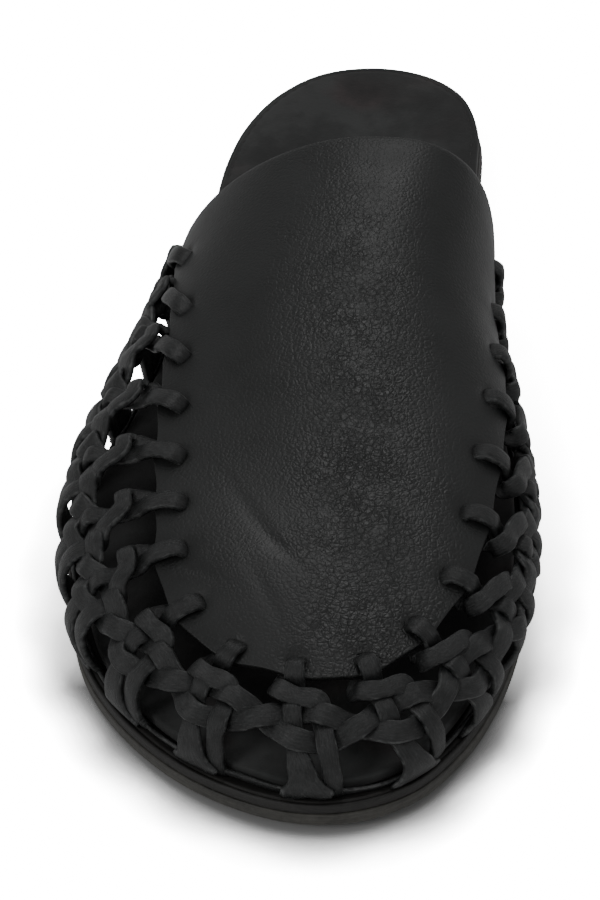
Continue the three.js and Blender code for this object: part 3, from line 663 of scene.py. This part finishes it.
outsole = sole_layer("outsole_dressed", [
    (0.7, 0.0), (0.3, 0.06), (0.06, 0.25), (0.0, 0.6), (0.0, 1.6), (0.0, 2.7), (0.04, 3.05), (0.2, 3.24),
    (0.7, 3.28), (2.5, 3.3),
], outsole_material)
midsole = sole_layer("midsole_dressed", [
    (2.5, midsole_bottom - 0.1), (0.7, midsole_bottom - 0.08), (0.38, midsole_bottom),
    (0.34, midsole_bottom + 0.2), (0.42, midsole_bottom + 1.1), (0.5, midsole_top - 0.5),
    (0.6, midsole_top - 0.16), (0.85, midsole_top), (1.3, midsole_top + 0.02), (1.5, midsole_top - 0.2),
    (1.75, midsole_top - 0.2), (1.95, midsole_top + 0.02), (2.5, midsole_top + 0.04), (3.0, midsole_top),
], midsole_material)


def footbed(point):
    """The footbed is a little hollow at the heel."""
    edge = smoothstep(np.min(np.linalg.norm(outline - point[:2], axis=1)), 7, 24)
    heel = smoothstep(point[1], 0.7 * LENGTH, 0.85 * LENGTH)
    return -0.9 * edge * heel


def at_heel(place):
    return smoothstep(outline[place][1], THROAT_FROM_TOE + 0.02 * LENGTH, HEEL_PART_FROM)


def insole_ring(inset, drop, groove=0.0):
    """A ring of the insole, this far inside its edge and below its top, with the groove at the heel."""
    def inset_at(place):
        return inside_wall(place) + inset

    def height_at(place):
        return insole_top - drop - groove * at_heel(place)
    return inset_at, height_at


insole = sole_layer("insole_dressed", [
    (lambda p: inside_wall(p) + 0.2, insole_bottom), (lambda p: inside_wall(p), insole_bottom + 0.4),
    insole_ring(0.0, 0.7), insole_ring(0.12, 0.3), insole_ring(0.5, 0.05), insole_ring(1.1, 0.0),
    insole_ring(1.6, 0.0, 0.02), insole_ring(GROOVE_INSET, 0.0, 0.1), insole_ring(2.3, 0.0, 0.03),
    insole_ring(3.4, 0.0), insole_ring(5.5, 0.0),
], suede_material, footbed)


# Vamp
def edge_height(place):
    return band_edge(place) * INSTEP_HEIGHT


def place_at(y, inner):
    low_place, high_place = (0.5, 1 + SPARE) if inner else (-SPARE, 0.5)
    for _ in range(40):
        middle = (low_place + high_place) / 2
        if (foot_at(middle)[0][1] > y) == inner:
            high_place = middle
        else:
            low_place = middle
    return (low_place + high_place) / 2


PITCH = 1 / (LOOP_COUNT - 1)


def along_loop(loop, rise):
    share = clamp((rise - loop["upper"]) / (loop["hole_rise"] - loop["upper"]), 0, 1.1)
    return mix(loop["foot"], loop["hole"], share)


def beside(loop, rise, millimetres):
    place = along_loop(loop, rise)
    return place + millimetres / on_wall(place, rise, 0)[2]


def edge_on_loop(loop, millimetres):
    rise = edge_height(loop["hole"])
    for _ in range(6):
        rise = edge_height(beside(loop, rise, millimetres))
    return rise


loops = []
for number in range(LOOP_COUNT):
    even = number * PITCH
    foot, hole = even + foot_ahead(even) * PITCH, even + hole_ahead(even) * PITCH
    upper = band_strand(foot) * INSTEP_HEIGHT
    loop = {
        "foot": foot, "hole": hole, "back": foot + 0.35 * PITCH, "upper": upper,
        "lower": upper - STRAND_SPACING, "hole_rise": edge_height(hole) + band_hole(hole) * INSTEP_HEIGHT,
    }
    loop["edge"] = edge_on_loop(loop, 0)
    loop["dive"] = edge_on_loop(loop, -STRIP_WIDTH)
    loop["wrap"] = min(mix(upper, loop["edge"], 0.55), loop["edge"] - STRIP_WIDTH)
    loops.append(loop)


# Round the point where the toe's ribs meet: the surface from here to here sets an even curve, which is taken
# over in full to CAP_FULL from the point and fades out at CAP_REACH.
CURVE_FROM, CURVE_TO = 9, 17
CAP_FULL, CAP_REACH = 6, 14
HOLE_DENT = 0.8
HOLE_DENT_RADIUS = 2.3


def level_cap(work):
    """Rounds off the point where the toe's ribs meet, by the even curve of what lies round it."""
    middle = np.array([ridge_across(POLE / LENGTH) * HALF_BALL, POLE]) + SHIFT[:2]

    def terms(flat):
        x, y = flat
        return [1.0, x, y, x * x, x * y, y * y]

    flats = [(vertex, np.array(vertex.co.xy) * 1000 - middle) for vertex in work.verts]
    around = [(vertex, flat) for vertex, flat in flats if CURVE_FROM < np.linalg.norm(flat) < CURVE_TO]
    system = np.array([terms(flat) for _, flat in around])
    heights = np.array([vertex.co.z * 1000 for vertex, _ in around])
    fit = np.linalg.lstsq(system, heights, rcond=None)[0]
    for vertex, flat in flats:
        away = np.linalg.norm(flat)
        if away < CAP_REACH:
            level = float(np.dot(terms(flat), fit))
            kept = smoothstep(away, CAP_FULL, CAP_REACH)
            vertex.co.z = mix(level, vertex.co.z * 1000, kept) * 0.001


def crease_depth(x, y):
    """Depth of the vamp's folds at a place of the shoe's plan."""
    depth = 0.0
    for along, across, direction, length, width, deep in CREASES:
        cx = (ridge_across(clamp(along, 0.175, 0.605)) + across * 0.6) * HALF_BALL
        dx, dy = x - cx, y - along * LENGTH
        turn = math.radians(direction)
        u = dx * math.cos(turn) + dy * math.sin(turn)
        v = -dx * math.sin(turn) + dy * math.cos(turn)
        depth += deep * math.exp(-(u / (length / 2)) ** 2 - (v / (width / 2)) ** 2)
    return depth


def vamp_piece():
    """The vamp's wall with a thick cut edge that runs straight from hole to hole."""
    rear, front = 110, 140
    columns = [place_at(mix(THROAT_FROM_TOE, POLE, i / rear), False) for i in range(rear + 1)]
    fan_start, fan_end = columns[-1], place_at(POLE, True)
    columns += [mix(fan_start, fan_end, i / front) for i in range(1, front)]
    columns += [place_at(mix(POLE, THROAT_FROM_TOE, i / rear), True) for i in range(rear + 1)]
    rows = 68
    hole_places = sorted(loop["hole"] for loop in loops)
    hole_points = [on_wall(loop["hole"], loop["hole_rise"] + 1.6, 0)[0] for loop in loops]
    vertices, faces = [], []
    for place in columns:
        rib = rib_at(place, 90)
        after = next((i for i, h in enumerate(hole_places) if h > place), len(hole_places))
        scallop = 0.0
        if 0 < after < len(hole_places):
            t = (place - hole_places[after - 1]) / (hole_places[after] - hole_places[after - 1])
            scallop = 0.7 * (1 - abs(2 * t - 1) ** 1.5) - 0.35
        start = edge_height(place) + scallop
        for j in range(rows + 1):
            vertices.append(point_on_rib(rib, mix(start, rib[1][-1], (j / rows) ** 1.1)))
    height = rows + 1
    for i in range(len(columns) - 1):
        for j in range(rows):
            a = i * height + j
            faces.append((a, a + height, a + height + 1, a + 1))
    piece = make_object("vamp_dressed", vertices, faces, vamp_material)
    mesh = piece.data
    work = bmesh.new()
    work.from_mesh(mesh)
    bmesh.ops.remove_doubles(work, verts=work.verts, dist=0.00012)
    level_cap(work)
    bmesh.ops.recalc_face_normals(work, faces=work.faces)
    work.normal_update()
    for vertex in work.verts:
        depth = crease_depth(vertex.co.x * 1000 - SHIFT[0], vertex.co.y * 1000 - SHIFT[1])
        for hole in hole_points:
            away = np.linalg.norm(np.array(vertex.co) * 1000 - SHIFT - hole)
            if away < 6:
                depth += HOLE_DENT * math.exp(-(away / HOLE_DENT_RADIUS) ** 2)
        vertex.co -= vertex.normal * depth * 0.001
    work.to_mesh(mesh)
    work.free()
    solid = piece.modifiers.new("wall", "SOLIDIFY")
    solid.thickness = VAMP_WALL * 0.001
    solid.offset = -1
    soft = piece.modifiers.new("edge", "BEVEL")
    soft.width = 0.0004
    soft.segments = 2
    soft.limit_method = "ANGLE"
    soft.angle_limit = math.radians(50)
    apply_modifiers(piece)
    piece.data.polygons.foreach_set("use_smooth", [True] * len(piece.data.polygons))
    return piece


vamp = vamp_piece()


# Strips
OVER = STRIP_THICKNESS / 2 + 0.4
UNDER = -0.8 * OVER
BELOW_VAMP = -(VAMP_WALL + 0.4 + STRIP_THICKNESS / 2)
ABOVE_VAMP = 0.25 + STRIP_THICKNESS / 2
WOBBLE = 0.05
SECTION = [
    (-1.0, -0.35), (-0.86, -0.85), (-0.45, -1.0), (0.0, -1.0), (0.45, -1.0), (0.86, -0.85), (1.0, -0.35),
    (1.0, 0.35), (0.88, 0.82), (0.45, 1.0), (0.0, 1.05), (-0.45, 1.0), (-0.88, 0.82), (-1.0, 0.35),
]


def lobed(across, to_end):
    """How far the end of a fan is cut back: rounded corners and a dip between its two lobes."""
    back = 1.5 * math.exp(-(across / 0.28) ** 2) + 1.9 * clamp((abs(across) - 0.6) / 0.4, 0, 1) ** 2
    return back * clamp(1 - to_end / 4.5, 0, 1)


def strip_mesh(stops, thickness, per_step=7, wobble=0.0, seed=0, fan=False):
    """Vertices, faces and texture places of a flat strip laid along the wall through the stops.

    A stop is a place round the foot, a rise along the wall, a lift off it and the strip's width.
    """
    path = spline([(s[0] * FOOT_TOTAL, s[1], s[2]) for s in stops], per_step)
    widths = spline([(s[3],) for s in stops], per_step)[:, 0]
    rows = [on_wall(p[0] / FOOT_TOTAL, p[1], p[2]) for p in path]
    points = np.array([r[0] for r in rows])
    normals = np.array([r[1] for r in rows])
    ahead = np.vstack([points[1:], points[-1:]])
    behind = np.vstack([points[:1], points[:-1]])
    tangents = ahead - behind
    tangents /= np.linalg.norm(tangents, axis=1)[:, None]
    vertices, uv, side, travelled = [], [], None, 0.0
    for i, (point, normal, along) in enumerate(zip(points, normals, tangents)):
        flat = np.cross(along, normal)
        size = np.linalg.norm(flat)
        if side is None:
            side = flat / size
        carried = side - along * side.dot(along)
        carried /= np.linalg.norm(carried)
        if flat.dot(carried) < 0:
            flat = -flat
        lean = smoothstep(size, 0.3, 0.75)
        side = mix(carried, flat / max(size, 1e-6), lean * 0.5)
        side /= np.linalg.norm(side)
        out = np.cross(side, along)
        if i:
            travelled += np.linalg.norm(points[i] - points[i - 1])
        half = widths[i] / 2 * (1 + wobble * math.sin(travelled * 0.9 + seed))
        to_end = np.linalg.norm(points[-1] - point)
        for across, depth in SECTION:
            back = lobed(across, to_end) if fan else 0.0
            vertices.append(point + side * across * half + out * depth * thickness / 2 - along * back)
            uv.append((across, travelled + seed * 13.0))
    count = len(SECTION)
    faces = []
    for i in range(len(points) - 1):
        for k in range(count):
            a, b = i * count + k, i * count + (k + 1) % count
            faces.append((a, a + count, b + count, b))
    faces.append(tuple(range(count)))
    faces.append(tuple(range(len(points) * count - 1, (len(points) - 1) * count - 1, -1)))
    return vertices, faces, uv


def fuller(place):
    """At the rear of the outer side the strips are packed closer and lie wider."""
    return 1.6 - 0.6 * smoothstep(place, 0.12, 0.26)


def loop_stops(loop):
    width = LOOP_WIDTH

    def leg(widths, rise, lift):
        return (beside(loop, rise, widths * STRIP_WIDTH), rise, lift, width)

    back, foot, upper, lower, wrap = loop["back"], loop["foot"], loop["upper"], loop["lower"], loop["wrap"]
    neck = lower - 0.62 * STRIP_WIDTH
    return [
        (back + 0.03 * PITCH, STRIP_FOOT_RISE, 0.5, STRIP_FOOT_WIDTH),
        (back + 0.02 * PITCH, lower * 0.5, 0.6, STRIP_FOOT_WIDTH),
        (back, lower, OVER, width),
        (back, upper, UNDER, width),
        leg(1.12, min(upper + 0.55 * STRIP_WIDTH, wrap - 0.1 * STRIP_WIDTH), OVER),
        leg(0, wrap, OVER),
        leg(-0.75, wrap + 0.15 * STRIP_WIDTH, OVER),
        leg(-0.95, wrap + 0.3 * STRIP_WIDTH, UNDER),
        leg(-0.8, loop["dive"] - 0.48 * STRIP_WIDTH, BELOW_VAMP),
        leg(-0.4, mix(loop["dive"], loop["hole_rise"], 0.4), BELOW_VAMP),
        leg(0, loop["hole_rise"] + 0.5, BELOW_VAMP),
        leg(0, loop["hole_rise"] + 2, -VAMP_WALL / 2),
        leg(0, loop["hole_rise"] + 0.5, ABOVE_VAMP),
        leg(0, loop["edge"] + 0.02 * STRIP_WIDTH, ABOVE_VAMP),
        leg(0, wrap + 0.45 * STRIP_WIDTH, UNDER),
        leg(0, min(upper + 0.6 * STRIP_WIDTH, wrap), UNDER),
        (foot, upper, OVER, width),
        (foot, lower, UNDER, width),
        (foot + 0.03 * PITCH, neck, 0, width * 1.05),
        (foot + 0.1 * PITCH, mix(STRIP_FOOT_RISE, neck, 0.5), OVER, FAN_WIDTH * 0.58),
        (foot + 0.13 * PITCH, STRIP_FOOT_RISE, OVER, FAN_WIDTH),
    ]


def strand_stops(starts_high):
    """A strand that runs round the foot, over one loop and under the next, and changes place between them."""
    high_now = starts_high
    first = loops[0]
    lift = OVER if high_now else UNDER
    stops = [(first["foot"] - 0.5 * PITCH, first["lower"] * 0.2, lift, STRIP_WIDTH)]
    for i, loop in enumerate(loops):
        rise = loop["upper"] if high_now else loop["lower"]
        lift, other = (OVER, UNDER) if high_now else (UNDER, OVER)
        width = STRIP_WIDTH * fuller(loop["foot"])
        stops.append((loop["foot"], rise, other, width))
        stops.append((loop["back"], rise, lift, width))
        if i + 1 < len(loops):
            following = loops[i + 1]
            middle = (loop["upper"] + loop["lower"] + following["upper"] + following["lower"]) / 4
            stops.append((mix(loop["back"], following["foot"], 0.56), middle, other, width))
            high_now = not high_now
        else:
            stops.append((loop["back"] + 0.22 * PITCH, loop["lower"] * 0.2, lift, width))
    return stops


def joined(name, parts, material):
    vertices, faces, uv = [], [], []
    for part_vertices, part_faces, part_uv in parts:
        base = len(vertices)
        vertices += part_vertices
        uv += part_uv
        faces += [tuple(base + v for v in face) for face in part_faces]
    return make_object(name, vertices, faces, material, uv)


loop_parts = [
    strip_mesh(loop_stops(loop), STRIP_THICKNESS, wobble=WOBBLE, seed=i, fan=True)
    for i, loop in enumerate(loops)
]
STRAND_SEED = 40
strand_parts = [
    strip_mesh(strand_stops(start), STRIP_THICKNESS, wobble=WOBBLE, seed=STRAND_SEED + start)
    for start in (True, False)
]
# The rand is a low raw edge round the feet of the strips, a little higher between them.
RAND_STEPS = 4 * LOOP_COUNT
RAND_THICKNESS = 1.0
RAND_WIDTH = 1.7
rand_stops = []
for step in range(RAND_STEPS + 1):
    round_foot = mix(-0.42 * PITCH, 1 + 0.42 * PITCH, step / RAND_STEPS)
    rand_stops.append((round_foot, 1.5 + 0.5 * math.cos(step * math.pi / 2), 0.6, RAND_WIDTH))
rand_part = strip_mesh(rand_stops, RAND_THICKNESS, 3)
weave = joined("woven_band_dressed", loop_parts + strand_parts + [rand_part], strip_material)


# Stitches round the heel of the footbed
STITCH_SPACING = 4.0
STITCH_LENGTH = 2.2
STITCH_WIDTH = 0.55
STITCH_HEIGHT = 0.4
STITCH_RINGS = 6
STITCH_SIDES = 8


def stitches(name, start_y, inset, height, material):
    around = [i for i in range(len(outline)) if outline[i][1] > start_y]
    around.sort(key=lambda i: (i - outer_end) % len(outline))
    path = np.array([outline[i] + inward[i] * inset for i in around])
    steps = np.concatenate([[0], np.cumsum(np.linalg.norm(np.diff(path, axis=0), axis=1))])
    vertices, faces = [], []
    for n in range(int(steps[-1] / STITCH_SPACING)):
        middle = (n + 0.5) * STITCH_SPACING
        point = np.array([np.interp(middle, steps, path[:, k]) for k in range(2)])
        nearby = np.array([np.interp(middle + 0.2, steps, path[:, k]) for k in range(2)])
        along = (nearby - point) / np.linalg.norm(nearby - point)
        side = np.array([-along[1], along[0]])
        base = len(vertices)
        level = ground_height(point[1]) + height
        for ring in range(STITCH_RINGS + 1):
            t = ring / STITCH_RINGS * 2 - 1
            radius = math.sqrt(max(1 - t * t, 0.0)) * 0.5 + (0.02 if abs(t) == 1 else 0.0)
            for k in range(STITCH_SIDES):
                angle = k * 2 * math.pi / STITCH_SIDES
                offset = along * t * STITCH_LENGTH / 2 + side * math.cos(angle) * radius * STITCH_WIDTH
                rise = math.sin(angle) * radius * STITCH_HEIGHT + (1 - t * t) * 0.1
                vertices.append((point[0] + offset[0], point[1] + offset[1], level + rise))
        for ring in range(STITCH_RINGS):
            for k in range(STITCH_SIDES):
                a = base + ring * STITCH_SIDES + k
                b = base + ring * STITCH_SIDES + (k + 1) % STITCH_SIDES
                faces.append((a, b, b + STITCH_SIDES, a + STITCH_SIDES))
    return make_object(name, vertices, faces, material)


heel_stitches = stitches(
    "heel_stitches", HEEL_PART_FROM, INSOLE_STEP + GROOVE_INSET, insole_top - 0.2, heel_thread)

# Every piece rides on the one body and stands for its solid.
for piece, node, slot in (
    (outsole, "outsole", "outsole_leather"), (midsole, "midsole", "midsole_leather"),
    (insole, "insole", "insole_suede"), (vamp, "vamp", "vamp_leather"),
    (weave, "woven_band", "strip_leather"), (heel_stitches, None, "insole_suede"),
):
    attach(piece, "root")
    if node:
        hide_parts(node)

# Floor, lights and camera. The paper under the shoe is printed white, so the camera sees it brighter, and a
# painted contact shadow darkens its colour near the shoe, most in front of the toe.
FLOOR_GAIN = 40.0
FLOOR_SHADE = [
    (0.5, (0.012, 0.012, 0.0115)), (0.66, (0.03, 0.03, 0.029)), (0.76, (0.075, 0.077, 0.076)),
    (0.84, (0.17, 0.175, 0.175)), (0.91, (0.42, 0.42, 0.42)), (0.98, (1.0, 1.0, 1.0)),
]
floor_mesh = bpy.data.meshes.new("floor")
floor_mesh.from_pydata([(-4, -4, 0), (4, -4, 0), (4, 4, 0), (-4, 4, 0)], [], [(0, 1, 2, 3)])
floor = bpy.data.objects.new("floor", floor_mesh)
bpy.context.scene.collection.objects.link(floor)
floor_material, floor_tree, floor_shader = new_material("floor_paper", (0.95, 0.95, 0.95), 0.9, 0.2)
floor_clouds = noise(floor_tree, place_of(floor_tree), 3)
floor_color = ramp(floor_tree, floor_clouds, [(0.2, (0.94, 0.94, 0.94)), (0.8, (0.96, 0.96, 0.96))])
floor_tree.links.new(floor_color, floor_shader.inputs["Base Color"])
seen = floor_tree.nodes.new("ShaderNodeLightPath")
paper = floor_tree.nodes.new("ShaderNodeBsdfDiffuse")
# Painted contact shadow: ambient occlusion darkens the floor's colour near the shoe. It is kept faint behind
# the shoe and full in front of the toe.
shelter = floor_tree.nodes.new("ShaderNodeAmbientOcclusion")
shelter.inputs["Distance"].default_value = 0.016
shelter.samples = 12
opened = ramp(floor_tree, shelter.outputs["AO"], FLOOR_SHADE)
floor_parts = floor_tree.nodes.new("ShaderNodeSeparateXYZ")
floor_tree.links.new(place_of(floor_tree), floor_parts.inputs["Vector"])
shadow_in_front = spread(floor_tree, floor_parts.outputs["Y"], 0.02, -0.1, 0.12, 1.0)
painted_floor_shadow = combine(floor_tree, "MULTIPLY", combine(floor_tree, "SUBTRACT", 1.0, opened), shadow_in_front)
lit = combine(floor_tree, "SUBTRACT", 1.0, painted_floor_shadow)
floor_tree.links.new(combine(floor_tree, "MULTIPLY", lit, FLOOR_GAIN), paper.inputs["Color"])
either = floor_tree.nodes.new("ShaderNodeMixShader")
floor_tree.links.new(seen.outputs["Is Camera Ray"], either.inputs["Fac"])
floor_tree.links.new(floor_shader.outputs["BSDF"], either.inputs[1])
floor_tree.links.new(paper.outputs["BSDF"], either.inputs[2])
floor_tree.links.new(either.outputs["Shader"], floor_tree.nodes["Material Output"].inputs["Surface"])
floor.data.materials.append(floor_material)

world = bpy.data.worlds.new("studio")
bpy.context.scene.world = world
world.use_nodes = True
world.node_tree.nodes["Background"].inputs["Color"].default_value = (1, 1, 1, 1)
world.node_tree.nodes["Background"].inputs["Strength"].default_value = 0.3


def area_light(name, place, target, size, power):
    data = bpy.data.lights.new(name, "AREA")
    data.shape = "RECTANGLE"
    data.size, data.size_y = size
    data.energy = power
    light = bpy.data.objects.new(name, data)
    bpy.context.scene.collection.objects.link(light)
    light.location = place
    light.rotation_euler = (Vector(target) - Vector(place)).to_track_quat("-Z", "Y").to_euler()


area_light("key", (0.08, 0.58, 1.25), (0, 0, 0), (0.3, 1.25), 4.3)
area_light("front_fill", (-0.9, -0.95, 0.9), (0, -0.05, 0), (0.45, 0.45), 3.9)
area_light("side_fill", (1.1, -0.4, 0.7), (0, 0, 0), (0.8, 0.8), 0.9)

# The camera stands where the photograph's did, with the lens fitted to the sole's outline there, and turns
# to the one shoe. Places are worked out in the photograph's own floor frame and brought to the shoe's.
FRAME_WIDTH = 600
FRAME_HEIGHT = 900
SENSOR = 36
ELEVATION = math.radians(39)
YAW = math.radians(2.3)
PHOTO_FOCAL = 1800.0
CAMERA_HEIGHT = 545.0
SHOE_ACROSS = -63.14
TOE_AWAY = 515.17
AIM = (155.0, 487.0)
ZOOM = 1.9


def to_shoe(vector):
    x, y, z = vector
    return np.array([x * math.cos(YAW) - y * math.sin(YAW), x * math.sin(YAW) + y * math.cos(YAW), z])


camera_place = to_shoe((-SHOE_ACROSS, -(LENGTH / 2 + TOE_AWAY), CAMERA_HEIGHT))
camera_place = camera_place + np.array([0, LENGTH / 2, 0]) + SHIFT
forward = np.array([0, math.cos(ELEVATION), -math.sin(ELEVATION)])
up = np.array([0, math.sin(ELEVATION), math.cos(ELEVATION)])
aim_across, aim_up = AIM[0] - FRAME_WIDTH / 2, FRAME_HEIGHT / 2 - AIM[1]
aim = forward * PHOTO_FOCAL + np.array([1, 0, 0]) * aim_across + up * aim_up
aim = to_shoe(aim / np.linalg.norm(aim))
right = np.cross(aim, to_shoe(up))
right /= np.linalg.norm(right)
camera_data = bpy.data.cameras.new("camera")
camera_data.sensor_width = SENSOR
camera_data.lens = PHOTO_FOCAL * ZOOM / FRAME_HEIGHT * SENSOR
camera = bpy.data.objects.new("camera", camera_data)
bpy.context.scene.collection.objects.link(camera)
turn = Matrix([right, np.cross(right, aim), -aim]).transposed()
camera.matrix_world = Matrix.Translation(Vector(camera_place * 0.001)) @ turn.to_4x4()
bpy.context.scene.camera = camera

bpy.context.view_layer.update()
